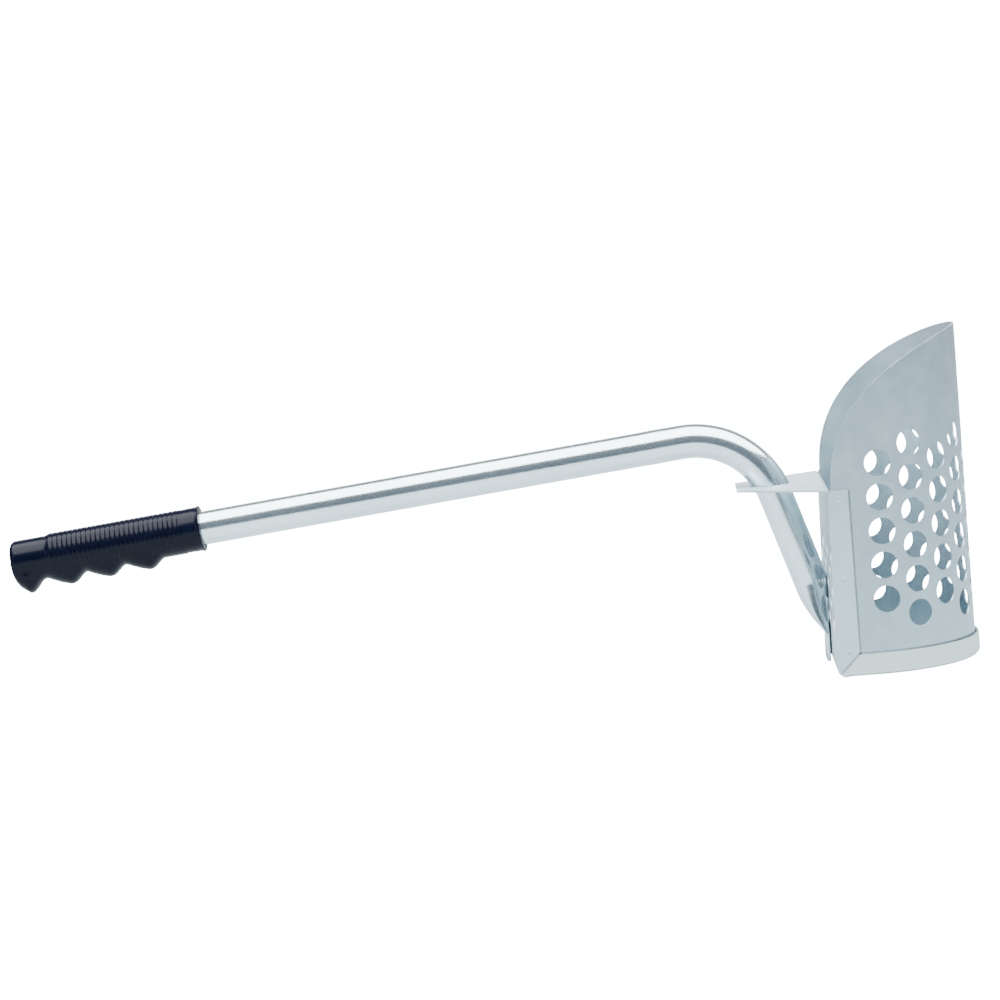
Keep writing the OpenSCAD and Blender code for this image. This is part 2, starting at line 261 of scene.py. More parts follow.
class Shade:
    """A shader value that adds a Math node for each operator used on it."""

    def __init__(self, bench: "Bench", socket: bpy.types.NodeSocket) -> None:
        """Wraps a socket of a bench."""
        self.bench = bench
        self.socket = socket

    def math(self, operation: str, first: object, second: object) -> "Shade":
        """Adds a Math node."""
        return Shade(self.bench, self.bench.node("Math", {"operation": operation},
                                                 {0: first, 1: second}).outputs[0])

    def __add__(self, other: object) -> "Shade":
        """Sum."""
        return self.math("ADD", self, other)

    __radd__ = __add__

    def __sub__(self, other: object) -> "Shade":
        """Difference."""
        return self.math("SUBTRACT", self, other)

    def __rsub__(self, other: object) -> "Shade":
        """Difference the other way round."""
        return self.math("SUBTRACT", other, self)

    def __mul__(self, other: object) -> "Shade":
        """Product."""
        return self.math("MULTIPLY", self, other)

    __rmul__ = __mul__

    def band(self, low: float, high: float) -> "Shade":
        """Rises smoothly from 0 at low to 1 at high."""
        ranged = self.bench.node("MapRange", {"interpolation_type": "SMOOTHSTEP"},
                                 {"Value": self, "From Min": low, "From Max": high})
        return Shade(self.bench, ranged.outputs[0])


class Bench:
    """One material while its nodes are laid out."""

    def __init__(self, name: str) -> None:
        """Starts an empty material."""
        self.material = bpy.data.materials.new(name)
        self.material.use_nodes = True
        self.tree = self.material.node_tree
        self.tree.nodes.clear()
        self.place = self.node("TexCoord").outputs["Object"]

    def node(self, kind: str, settings: dict[str, object] | None = None,
             sockets: dict[str | int, object] | None = None) -> bpy.types.Node:
        """Adds a node.

        Args:
            kind: Its type, without the ShaderNode prefix.
            settings: Its settings, and a ramp's stops as pairs of place and colour.
            sockets: Values or links for its inputs, by name or number.

        Returns:
            The node.
        """
        made = self.tree.nodes.new("ShaderNode" + kind)
        for name, value in (settings or {}).items():
            if name == "stops":
                ramp = made.color_ramp
                while len(ramp.elements) < len(value):
                    ramp.elements.new(0.5)
                for element, (place, colour) in zip(ramp.elements, value):
                    element.position = place
                    element.color = (*colour, 1)
            else:
                setattr(made, name, value)
        for name, value in (sockets or {}).items():
            source = value.socket if isinstance(value, Shade) else value
            if isinstance(source, bpy.types.NodeSocket):
                self.tree.links.new(source, made.inputs[name])
            else:
                made.inputs[name].default_value = source
        return made

    def stretched(self, scale: Point,
                  turn: Point = (0, 0, 0)) -> bpy.types.NodeSocket:
        """Object coordinates, turned in radians and stretched along each axis."""
        return self.node("Mapping", {"vector_type": "TEXTURE"},
                         {"Vector": self.place, "Rotation": turn, "Scale": scale}).outputs[0]

    def noise(self, scale: float, detail: float = 3, where: bpy.types.NodeSocket | None = None,
              roughness: float = 0.5) -> Shade:
        """Cloudy noise between 0 and 1.

        Args:
            scale: Clouds to the metre.
            detail: Octaves of finer clouds.
            where: Coordinates, if not the plain ones.
            roughness: Strength of the finer clouds.

        Returns:
            The noise.
        """
        made = self.node("TexNoise", None, {"Vector": where or self.place, "Scale": scale,
                                            "Detail": detail, "Roughness": roughness})
        return Shade(self, made.outputs[0])

    def blend(self, factor: Shade | float, low: tuple[float, ...] | bpy.types.NodeSocket,
              high: tuple[float, ...] | bpy.types.NodeSocket,
              manner: str = "MIX") -> bpy.types.NodeSocket:
        """Mixes two colours.

        Args:
            factor: Share of the second.
            low: First colour.
            high: Second colour.
            manner: How they are mixed.

        Returns:
            The mixed colour.
        """
        colours = [(*c, 1) if isinstance(c, tuple) else c for c in (low, high)]
        made = self.node("Mix", {"data_type": "RGBA", "blend_type": manner},
                         {0: factor, 6: colours[0], 7: colours[1]})
        return made.outputs[2]

    def away(self, place: Shade, mark: float) -> Shade:
        """Distance between a coordinate and a mark."""
        return place.math("ABSOLUTE", place - mark, 0)

    def bump(self, height: Shade, depth: float) -> bpy.types.NodeSocket:
        """Turns a height between 0 and 1 into a normal, by its full depth in metres."""
        return self.node("Bump", None, {"Strength": 1.0, "Distance": depth,
                                        "Height": height}).outputs[0]

    def finish(self, **sockets: object) -> bpy.types.Material:
        """Lays the shader itself, from values or links by name, underscores for spaces."""
        shader = self.node("BsdfPrincipled", None,
                           {name.replace("_", " "): value for name, value in sockets.items()})
        self.node("OutputMaterial", None, {0: shader.outputs[0]})
        return self.material


@dataclass(frozen=True)
class Galvanised:
    """Hot-dip galvanised sheet with a soft spangle, rain-dulled, with painted shade at its seams
    and inside.

    The seams are the X of the hems' edge and the Z of the flange's; thin lines of painted shade run
    along them, and the inside gets painted shade, darker towards the bottom.
    """

    name: str
    light: Colour
    dark: Colour
    roughness: float
    # Seams that get thin lines of painted shade, standing in for contact shadow, if given.
    shade_seams: Span | None = None
    spangle: float = 9 * MM
    relief: float = 0.35 * MM
    speck: Colour = (0.46, 0.50, 0.53)
    # Colours of the painted shade inside the basket and of the painted shade lines at the seams.
    inner_shade: Colour = (0.17, 0.25, 0.31)
    seam_shade: Colour = (0.10, 0.13, 0.15)

    def make(self) -> bpy.types.Material:
        """Lays out the nodes."""
        bench = Bench(self.name)
        wander = bench.noise(60, 3)
        cells = bench.node("TexVoronoi", {"feature": "SMOOTH_F1", "distance": "EUCLIDEAN"},
                           {"Vector": bench.place, "Scale": 1 / self.spangle, "Smoothness": 0.55,
                            "Randomness": 1.0})
        parts = bench.node("SeparateColor", None, {0: cells.outputs["Color"]})
        grey = Shade(bench, parts.outputs[0])
        cloud = bench.noise(14, 5, roughness=0.62)
        streak = bench.noise(1, 4, bench.stretched((0.008, 0.008, 0.09)))
        tone = (grey * 0.16 + cloud * 0.55 + streak * 0.3 + wander * 0.14).band(0.3, 0.9)
        colour = bench.blend(tone, self.dark, self.light)
        specks = bench.noise(900, 2).band(0.68, 0.8)
        colour = bench.blend(specks * 0.2, colour, self.speck)
        # Painted shade: dark lines at the seams, and a darker inside that grows darker towards the
        # bottom.
        if self.shade_seams:
            seam_shade, inner_shade_mask = self.painted_shade(bench)
            colour = bench.blend(inner_shade_mask * 0.75, colour, self.inner_shade)
            colour = bench.blend(seam_shade * (cloud + 0.1), colour, self.seam_shade)
        rough = grey * 0.07 + cloud * 0.12 + (self.roughness - 0.09)
        height = bench.noise(30, 4) * 0.8 + grey * 0.08 + bench.noise(700, 2) * 0.1
        return bench.finish(Base_Color=colour, Roughness=rough, Metallic=0.86,
                            Normal=bench.bump(height, self.relief))

    def painted_shade(self, bench: Bench) -> tuple[Shade, Shade]:
        """Masks the painted shade lines along the edges of the hems and of the flange, and the
        painted shade inside, darker towards the bottom.

        Args:
            bench: The material's bench.

        Returns:
            The mask of the painted shade lines, and that of the painted shade inside.
        """
        split = bench.node("SeparateXYZ", None, {0: bench.place})
        across, up = Shade(bench, split.outputs[0]), Shade(bench, split.outputs[2])
        hem, flange = self.shade_seams
        beside = 1 - bench.away(across, hem).band(0.5 * MM, 1.0 * MM)
        above = 1 - bench.away(up, flange).band(0.4 * MM, 0.9 * MM)
        below_top = 1 - up.band(Basket.back_height - 0.6 * MM, Basket.back_height)
        forward = across - (Basket.side - Basket.half_depth)
        forward = forward.math("MAXIMUM", forward, 0)
        aside = Shade(bench, split.outputs[1])
        reach = forward.math("SQRT", forward * forward + aside * aside, 0)
        skin = Basket.width / 2
        outside = reach.band(skin - 0.8 * MM, skin - 0.4 * MM)
        deep = 1 - up.band(40 * MM, 150 * MM)
        return (beside * below_top + above) * outside, (1 - outside) * deep


def bright_tube(name: str, fall: float) -> bpy.types.Material:
    """Bright zinc-plated drawn tube, with draw lines along its fall and handling marks."""
    bench = Bench(name)
    line_long, line_wide = 160 * MM, 1.2 * MM
    along = bench.stretched((line_long, line_wide, line_wide), (0, fall, 0))
    lines = bench.noise(1, 3, along)
    cloud = bench.noise(14, 4, roughness=0.55)
    smudge = bench.noise(60, 4).band(0.58, 0.76)
    tone = (lines * 0.35 + cloud * 0.8).band(0.3, 0.84)
    colour = bench.blend(tone, (0.68, 0.80, 0.86), (0.82, 0.93, 0.98))
    colour = bench.blend(smudge * 0.2, colour, (0.55, 0.66, 0.72))
    rough = cloud * 0.05 + lines * 0.04 + smudge * 0.05 + 0.12
    height = lines * 0.25 + cloud * 0.75
    return bench.finish(Base_Color=colour, Roughness=rough, Metallic=0.93,
                        Normal=bench.bump(height, 0.06 * MM))


def grip_vinyl(name: str) -> bpy.types.Material:
    """Navy moulded vinyl, polished by hands in patches."""
    bench = Bench(name)
    cloud = bench.noise(40, 4, roughness=0.6)
    grain = bench.noise(1600, 2)
    wear = bench.noise(110, 4).band(0.52, 0.75)
    colour = bench.blend(cloud, (0.0012, 0.0018, 0.0075), (0.0022, 0.0034, 0.0130))
    colour = bench.blend(wear * 0.3, colour, (0.004, 0.006, 0.020))
    rough = cloud * 0.06 + grain * 0.05 + 0.17
    return bench.finish(Base_Color=colour, Roughness=rough, Specular_IOR_Level=0.13,
                        Normal=bench.bump(grain, 0.03 * MM))


def zinc_hardware(name: str) -> bpy.types.Material:
    """Zinc-plated fastener steel, clouded and with dulled spots."""
    bench = Bench(name)
    cloud = bench.noise(240, 4)
    spots = bench.noise(900, 3).band(0.6, 0.72)
    colour = bench.blend(cloud, (0.50, 0.52, 0.52), (0.68, 0.70, 0.70))
    colour = bench.blend(spots * 0.5, colour, (0.36, 0.36, 0.33))
    rough = cloud * 0.14 + spots * 0.15 + 0.26
    return bench.finish(Base_Color=colour, Roughness=rough, Metallic=0.95,
                        Normal=bench.bump(cloud, 0.05 * MM))


def studio_card(name: str, tone: float) -> bpy.types.Material:
    """Matt card of a cool grey, at a tone from dark to light."""
    red, blue = tone * 0.6, tone * 1.6
    return Bench(name).finish(Base_Color=(red, tone, blue, 1), Roughness=0.9)


def studio_paper(name: str, glow: float, spill: float) -> bpy.types.Material:
    """Matt paper that glows at the camera, and spills a fainter glow on what stands on it."""
    bench = Bench(name)
    paper = bench.node("BsdfDiffuse", None, {"Color": (0.42, 0.46, 0.475, 1)})
    seen = Shade(bench, bench.node("LightPath").outputs["Is Camera Ray"])
    shine = bench.node("Emission", None, {"Color": (0.88, 0.96, 1, 1),
                                          "Strength": seen * glow + spill})
    both = bench.node("AddShader", None, {0: paper.outputs[0], 1: shine.outputs[0]})
    bench.node("OutputMaterial", None, {0: both.outputs[0]})
    return bench.material


class Slot(Enum):
    """Material slots of the record."""

    WALL = "galvanised_wall"
    PLATE = "galvanised_plate"
    PAN = "galvanised_pan"
    TUBE = "zinc_tube"
    GRIP = "grip_vinyl"
    HARDWARE = "zinc_hardware"


def hand_over(obj: Body, name: str, material: bpy.types.Material, slot: Slot,
              *nodes: str) -> None:
    """Sets a finished piece down in the shared frame in place of its part nodes.

    Args:
        obj: The piece, with X measured from the back plate.
        name: Its name.
        material: Its finish.
        slot: The record's slot; not used.
        *nodes: The part nodes it stands for.
    """
    obj.location.x = -Basket.half_depth
    set_down(obj)
    obj.name = obj.data.name = name
    obj.data.materials.clear()
    obj.data.materials.append(material)
    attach(obj, ROOT)
    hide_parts(*nodes)
    LOG.info("%s: %d faces, in place of %s", name, len(obj.data.polygons), ", ".join(nodes))


# ---------------------------------------------------------------- basket


#: Sides of a sifting hole.
HOLE_SIDES = 44


@dataclass
class Basket:
    """Perforated wall, punched flat and then rolled into a D."""

    width: float = 139 * MM
    side: float = 21 * MM
    back_height: float = 118 * MM
    lip_rise: float = 95 * MM
    fullness: float = 2.15
    thick: float = 1.2 * MM
    foot: float = 3.6 * MM
    hole: float = 16.8 * MM
    pitch_up: float = 21.4 * MM
    pitch_round: float = 21.9 * MM
    first_hole: float = 36.6 * MM
    half_columns: int = 5
    rows: int = 6
    half_depth: float = 45.25 * MM
    strip: float = 2.4 * MM

    @property
    def radius(self) -> float:
        """Outer radius of the rolled front."""
        return self.width / 2

    @property
    def half_run(self) -> float:
        """Length of the flat blank from its middle to its back edge."""
        return self.side + math.pi * self.radius / 2 - 1.5 * MM

    def mouth(self, turn: float) -> tuple[float, float]:
        """Point of the mouth curve, 0 degrees at the back plate and 90 at the tip."""
        power = 2 / self.fullness
        run = self.half_run * math.cos(math.radians(turn)) ** power
        return run, self.back_height + self.lip_rise * math.sin(math.radians(turn)) ** power

    def outline(self) -> list[tuple[float, float]]:
        """Outline of the flat blank, as distances from its middle and heights."""
        turns = [0.25, 1, 2, 3.5, 5, 7] + [9 + 2.7 * k for k in range(30)] + [90]
        right = [self.mouth(turn) for turn in turns]
        left = [(-run, height) for run, height in reversed(right[:-1])]
        ends = [(self.half_run, self.foot), (self.half_run, self.back_height)]
        return [(-self.half_run, self.foot), *ends, *right, *left,
                (-self.half_run, self.back_height)]

    def blank(self) -> Body:
        """Cuts the flat blank, X along it and Y up it, outer face at Z 0."""
        points = self.outline()
        sheet = disc(len(points), 1)
        for vertex, (run, height) in zip(sheet.data.vertices, points):
            vertex.co = (run, height, 0)
        tidy_shell(sheet)
        with editing(sheet):
            pull((0, 0, self.thick))
        tidy_shell(sheet)
        return sheet

    def stagger(self, half: int, rows: int, outer_long: bool) -> Iterator[Span]:
        """Places of the staggered sifting holes, as distance from the middle and height.

        Args:
            half: Number of columns on each side of the middle.
            rows: Number of holes in a long column; the short ones between have one less.
            outer_long: Whether the outermost column is a long one.
        """
        for column in range(-half, half):
            long = ((column + half) % 2 == 0) == outer_long
            lift = 0 if long else self.pitch_up / 2
            for row in range(rows if long else rows - 1):
                yield ((column + 0.5) * self.pitch_round,
                       self.first_hole + lift + row * self.pitch_up)

    def punch(self, sheet: Body) -> None:
        """Punches the sifting holes into the flat blank."""
        combine(sheet, [drill(self.hole, 6 * self.thick, (run, height, self.thick / 2),
                              sides=HOLE_SIDES)
                        for run, height in self.stagger(self.half_columns, self.rows, False)],
                "DIFFERENCE")

    def roll(self, sheet: Body) -> None:
        """Scores the blank into narrow strips and rolls it."""
        with editing(sheet):
            count = int(self.half_run / self.strip)
            for k in range(-count, count + 1):
                bpy.ops.mesh.select_all(action="SELECT")
                bpy.ops.mesh.bisect(plane_co=(k * self.strip, 0, 0), plane_no=(1, 0, 0),
                                    threshold=ON_CUT)
        curve = math.pi * self.radius / 2
        for vertex in sheet.data.vertices:
            run, height, depth = vertex.co
            reach = self.radius - depth
            if abs(run) <= curve:
                turn = run / self.radius
                vertex.co = (self.side + reach * math.cos(turn), reach * math.sin(turn), height)
            else:
                vertex.co = (self.side - (abs(run) - curve), math.copysign(reach, run), height)
        tidy_shell(sheet)

    def build(self, finish: bpy.types.Material) -> None:
        """Makes the wall and hands it over."""
        sheet = self.blank()
        self.punch(sheet)
        round_edges(sheet, 0.28 * MM, 2)
        self.roll(sheet)
        smooth(sheet)
        hand_over(sheet, "basket_wall", finish, Slot.WALL, "basket_shell")


@dataclass
class BackPlate:
    """Back plate folded from one strip: shelf, leaning back, bottom corner and two side hems."""

    basket: Basket
    thick: float = 1.2 * MM
    hem_thick: float = 0.8 * MM
    lean: float = math.radians(1.5)
    hem: float = 11.8 * MM
    corner_r: float = 6 * MM
    shelf_r: float = 3 * MM
    shelf_length: float = 56 * MM
    shelf_tip: float = 53 * MM
    relief: float = 3.6 * MM
    mitre_gap: float = 1.1 * MM
    fit: float = 0.1 * MM
    columns: int = 3
    rows: int = 3
    welds: tuple[float, ...] = (16 * MM, 62 * MM, 110 * MM)
    weld_r: float = 6 * MM
    weld_deep: float = 0.3 * MM

    @property
    def outer(self) -> float:
        """Half of the width over the hems."""
        return self.basket.radius + self.fit + self.thick

    @property
    def shelf_centre(self) -> tuple[float, float]:
        """Centre of the bend into the shelf, as X and Z."""
        return self.thick - self.shelf_r, self.basket.back_height - self.shelf_r

    @property
    def corner_centre(self) -> tuple[float, float]:
        """Centre of the bend at the base, as X and Z."""
        x, z = self.shelf_centre
        reach = self.corner_r + (self.corner_r - z) * math.sin(self.lean)
        return x + (self.shelf_r - self.thick + reach) / math.cos(self.lean), self.corner_r

    def face(self, height: float) -> float:
        """X of the outer face of the back at a height."""
        x, z = self.shelf_centre
        reach = self.shelf_r - self.thick + (height - z) * math.sin(self.lean)
        return x + reach / math.cos(self.lean)

    @property
    def mitre(self) -> Point:
        """A point of the line that the hems are mitred along."""
        x, z = self.corner_centre
        return x - z, 0, self.mitre_gap * HALF_RIGHT

    def strip(self) -> Body:
        """Folds the strip that makes shelf, back and bottom corner."""
        shelf_x, shelf_z = self.shelf_centre
        corner_x, corner_z = self.corner_centre
        root = self.outer - self.thick - self.relief
        top = self.basket.back_height
        deselect()
        bpy.ops.mesh.primitive_plane_add(size=1)
        strip = bpy.context.object
        half = self.shelf_tip / 2
        corners = [(-half, top - self.thick), (half, top - self.thick), (half, top), (-half, top)]
        ring = [strip.data.polygons[0].vertices[k] for k in range(4)]
        for index, (y, z) in zip(ring, corners):
            strip.data.vertices[index].co = (-self.shelf_length, y, z)
        down = Vector((-math.sin(self.lean), 0, -math.cos(self.lean)))
        length = math.hypot(shelf_x - corner_x, shelf_z - corner_z)
        length = math.sqrt(length ** 2 - (self.shelf_r - self.thick + self.corner_r) ** 2)
        shoulder = 0.4 * MM
        with editing(strip):
            bpy.ops.mesh.delete(type="ONLY_FACE")
            take_all("EDGE")
            pull((self.shelf_length + shelf_x, 0, 0))
            widen(1, root / half, 1)
            sweep((shelf_x, 0, shelf_z), (0, 1, 0), math.pi / 2 + self.lean, 8)
            pull(tuple(down * shoulder))
            widen(1, self.outer / root, 1)
            pull(tuple(down * (length - shoulder)))
            sweep((corner_x, 0, corner_z), (0, -1, 0), math.pi / 2 + self.lean, 10)
            pick_edges(strip, lambda edge: edge.is_boundary
                       and edge.verts[0].co.x < MM - self.shelf_length)
            bpy.ops.mesh.edge_face_add()
            pick_edges(strip, lambda edge: edge.is_boundary)
            bpy.ops.mesh.edge_face_add()
        tidy_shell(strip)
        return strip

    def hem_flap(self, side: int) -> Body:
        """Cuts the hem on one side, open at the top and mitred at the bottom."""
        flap = side_block(side, (self.outer - self.hem_thick, self.outer), (-4 * MM, self.hem),
                          (0, self.basket.back_height))
        with editing(flap):
            slice_off((self.face(0) + self.thick / 2, 0, 0),
                      (-math.cos(self.lean), 0, math.sin(self.lean)))
            self.slice_corner(self.corner_r - self.thick / 2, (190, 205, 220))
            slice_off(self.mitre, (1, 0, -1))
        return flap

    def slice_corner(self, radius: float, angles: tuple[float, ...]) -> None:
        """Slices facets round the bottom corner's centre, at angles in degrees."""
        x, z = self.corner_centre
        for angle in angles:
            out = Vector((math.cos(math.radians(angle)), 0, math.sin(math.radians(angle))))
            slice_off(Vector((x, 0, z)) + out * radius, out)

    def mitre_tool(self, side: int) -> Body:
        """Cutter that trims the strip's corner under the hem on one side."""
        tool = side_block(side, (self.outer - self.thick, self.outer + self.thick),
                          (-20 * MM, 30 * MM), (-20 * MM, 20 * MM))
        with editing(tool):
            slice_off(self.mitre, (-1, 0, 1))
        return tool

    def cutters(self, handle: "Handle") -> list[Body]:
        """Round cutters for the sifting holes, the weld dimples, the handle tube and the bolt."""
        basket = self.basket
        tools = [drill(basket.hole, 8 * self.thick, (self.face(height), aside, height),
                       (0, math.pi / 2 + self.lean, 0), HOLE_SIDES)
                 for aside, height in basket.stagger(self.columns, self.rows, True)]
        weld_out = self.outer + self.weld_r - self.weld_deep
        for side in (-1, 1):
            for height in self.welds:
                bpy.ops.mesh.primitive_uv_sphere_add(
                    segments=48, ring_count=24, radius=self.weld_r, rotation=(math.pi / 2, 0, 0),
                    location=(self.hem / 2, side * weld_out, height))
                tools.append(set_down(bpy.context.object))
        x, z, tilt = handle.at_shelf()
        clear = handle.tube + 1 * MM
        tools.append(drill(clear, clear * math.tan(tilt) + 6 * self.thick, (x, 0, z),
                           (0, -tilt, 0), 64))
        tools.append(handle.bolt.clearance())
        return tools

    def build(self, handle: "Handle", finish: bpy.types.Material) -> None:
        """Makes the folded plate and hands it over."""
        plate = self.strip()
        combine(plate, [self.hem_flap(-1), self.hem_flap(1)], "UNION")
        combine(plate, [self.mitre_tool(-1), self.mitre_tool(1)], "DIFFERENCE")
        tidy_shell(plate)
        rim, top = self.outer - 0.1 * MM, self.basket.back_height - 2 * MM

        def is_fold(edge: bmesh.types.BMEdge) -> bool:
            """Says whether an edge is the outer fold of a hem."""
            a, b = edge.verts
            middle = (a.co + b.co) / 2
            return (abs(a.co.y) > rim and abs(b.co.y) > rim and middle.x < 2 * MM
                    and abs(a.co.z - b.co.z) > 0.2 * MM and middle.z < top)

        round_edges(plate, 1.3 * MM, 3, is_fold)
        combine(plate, self.cutters(handle), "DIFFERENCE")
        tidy_shell(plate)
        round_edges(plate, 0.2 * MM, 2)
        hold_width(plate, self.outer)
        smooth(plate)
        hand_over(plate, "folded_back_plate", finish, Slot.PLATE, "back_plate")


@dataclass
class FloorPan:
    """Pan drawn up round the foot of the wall, with its flange mitred against the hems."""

    plate: BackPlate
    flange: float = 14 * MM
    bend: float = 3.5 * MM
    front_gap: float = 1.2 * MM
    hole_margin: float = 5 * MM

    @property
    def side(self) -> float:
        """Where the straight flange runs into the round front."""
        return self.plate.basket.side + self.front_gap

    def skin(self) -> Body:
        """Draws the outer skin of flange, bend and floor."""
        outer = self.plate.outer
        start = self.plate.corner_centre[0]
        deselect()
        bpy.ops.mesh.primitive_plane_add(size=1)
        pan = bpy.context.object
        pan.data.vertices[0].co = (start, -outer, self.flange)
        with editing(pan):
            net = bmesh.from_edit_mesh(pan.data)
            net.verts.ensure_lookup_table()
            for vertex in net.verts:
                vertex.select_set(vertex.index != 0)
            bpy.ops.mesh.delete(type="VERT")
            bpy.ops.mesh.select_all(action="SELECT")
            pull((0, 0, self.bend - self.flange))
            sweep((start, self.bend - outer, self.bend), (1, 0, 0), math.pi / 2, 6)
            take_all("EDGE")
            pull((self.side - start, 0, 0))
            sweep((self.side, 0, 0), (0, 0, 1), math.pi, 72)
            pull((start - self.side, 0, 0))
            pick_edges(pan, lambda edge: edge.is_boundary
                       and all(vertex.co.z < 0.01 * MM for vertex in edge.verts))
            bpy.ops.mesh.edge_face_add()
        tidy_shell(pan)
        return pan

    def heel(self, side: int) -> Body:
        """Small toe of the flange that runs back under the mitre on one side."""
        plate = self.plate
        toe = side_block(side, (plate.outer - plate.thick, plate.outer),
                         (-4 * MM, plate.corner_centre[0] + 1 * MM), (0, self.flange))
        with editing(toe):
            plate.slice_corner(plate.corner_r, (222, 234, 246, 258))
        return toe

    def build(self, finish: bpy.types.Material) -> None:
        """Makes the pan and hands it over."""
        plate, basket = self.plate, self.plate.basket
        pan = self.skin()
        apply(pan, "SOLIDIFY", thickness=plate.thick, offset=-1, use_even_offset=True)
        tidy_shell(pan)
        combine(pan, [self.heel(-1), self.heel(1)], "UNION")
        x = plate.mitre[0]
        wedge = block((-60 * MM, -0.1, -20 * MM), (60 * MM, 0.1, 40 * MM))
        with editing(wedge):
            slice_off((x + plate.mitre_gap * HALF_RIGHT, 0, 0), (1, 0, -1))
        reach = basket.radius - self.bend - basket.hole / 2 - self.hole_margin
        rear = plate.corner_centre[0] + basket.hole / 2 + self.hole_margin
        tools, places = [wedge], range(-4, 5)
        for row in places:
            shift = 0.5 if row % 2 == 0 else 0
            for column in places:
                px = basket.half_depth + (column + shift) * basket.pitch_up
                py = row * basket.pitch_round
                if px > rear and math.hypot(max(px - basket.side, 0), py) < reach:
                    tools.append(drill(basket.hole, 6 * plate.thick, (px, py, 0),
                                       sides=HOLE_SIDES))
        combine(pan, tools, "DIFFERENCE")
        tidy_shell(pan)
        round_edges(pan, 0.22 * MM, 2)
        hold_width(pan, plate.outer)
        smooth(pan)
        hand_over(pan, "drawn_floor_pan", finish, Slot.PAN, "floor_pan")


# ---------------------------------------------------------------- handle


@dataclass
class TabBolt:
    """Countersunk socket bolt through the flattened tab, with its washer and nut."""

    plate: BackPlate
    diameter: float = 6 * MM
    height: float = 11.5 * MM
    fit: float = 0.2 * MM
    washer: float = 12 * MM
    washer_thick: float = 1.6 * MM
    nut: float = 10 * MM
    nut_thick: float = 5 * MM
    tab: float = 3.2 * MM
    play: float = 0.05 * MM

    def frame(self) -> Matrix:
        """Frame whose Z runs along the bolt into the basket from the outer face of the plate."""
        turn = Matrix.Rotation(math.pi / 2 + self.plate.lean, 4, "Y")
        return Matrix.Translation((self.plate.face(self.height), 0, self.height)) @ turn

    def placed(self, obj: Body) -> Body:
        """Puts a piece made on the bolt's own axis where the bolt is."""
        obj.matrix_world = self.frame() @ obj.matrix_world
        return set_down(obj)

    def clearance(self) -> Body:
        """Cutter for the bolt's hole."""
        return self.placed(drill(self.diameter + 2 * self.fit, 20 * MM, (0, 0, 0), sides=40))

    def countersink(self) -> Body:
        """Cutter for the seat of the bolt's head."""
        head = -self.play - self.tab
        return self.placed(drill(2 * self.diameter + 2 * MM, 4 * MM, (0, 0, head + 1 * MM),
                                 sides=48, tip=self.diameter - 2 * MM))

    def build_bolt(self, finish: bpy.types.Material) -> None:
        """Turns the bolt: countersunk head with a hexagon socket, and a threaded shank."""
        head = -self.play - self.tab
        radius = self.diameter / 2
        tip = self.plate.thick + self.washer_thick + self.nut_thick + 2 * MM
        edge, edge_out, thread, grooved, point = 0.25 * MM, 1.04, 0.5 * MM, 0.9, 0.8
        face = self.diameter - edge
        profile = [(edge, edge_out), (self.diameter - radius - edge, radius / (face * edge_out))]
        z = head + self.diameter - radius
        while z + 2 * thread < tip:
            profile += [(thread, grooved), (thread, 1 / grooved)]
            z += 2 * thread
        profile.append((tip - z, point))
        bolt = disc(40, face, location=(0, 0, head))
        with editing(bolt):
            take_all("FACE")
            for step, factor in profile:
                pull((0, 0, step))
                widen(factor, factor, 1)
        tidy_shell(bolt)
        combine(bolt, [drill(2 * self.diameter / 3, 2.4 * MM, (0, 0, head), sides=6)], "DIFFERENCE")
        round_edges(bolt, 0.08 * MM, 1)
        smooth(bolt)
        hand_over(self.placed(bolt), "tab_bolt_turned", finish, Slot.HARDWARE, "tab_bolt")

    def build_washer(self, finish: bpy.types.Material) -> None:
        """Stamps the washer."""
        middle = self.plate.thick + self.washer_thick / 2
        washer = drill(self.washer, self.washer_thick, (0, 0, middle), sides=56)
        combine(washer, [drill(self.diameter + 2 * self.fit, 4 * self.washer_thick, (0, 0, middle),
                               sides=40)], "DIFFERENCE")
        round_edges(washer, 0.2 * MM, 2)
        smooth(washer)
        hand_over(self.placed(washer), "tab_washer_stamped", finish, Slot.HARDWARE, "tab_washer")

    def build_nut(self, finish: bpy.types.Material) -> None:
        """Forges the nut, with its corners chamfered at one face."""
        middle = self.plate.thick + self.washer_thick + self.nut_thick / 2
        across = self.nut / math.cos(math.pi / 6)
        nut = drill(across, self.nut_thick, (0, 0, middle), (0, 0, math.pi / 6), sides=6)
        spool = drill(across * 1.18, self.nut_thick, (0, 0, middle), sides=48, tip=across * 0.94)
        apply(nut, "BOOLEAN", object=spool, operation="INTERSECT", solver="EXACT")
        bpy.data.objects.remove(spool)
        bore = drill(self.diameter + 0.1 * MM, 4 * self.nut_thick, (0, 0, middle), sides=40)
        combine(nut, [bore], "DIFFERENCE")
        round_edges(nut, 0.15 * MM, 2)
        smooth(nut)
        hand_over(self.placed(nut), "tab_nut_forged", finish, Slot.HARDWARE, "tab_nut")


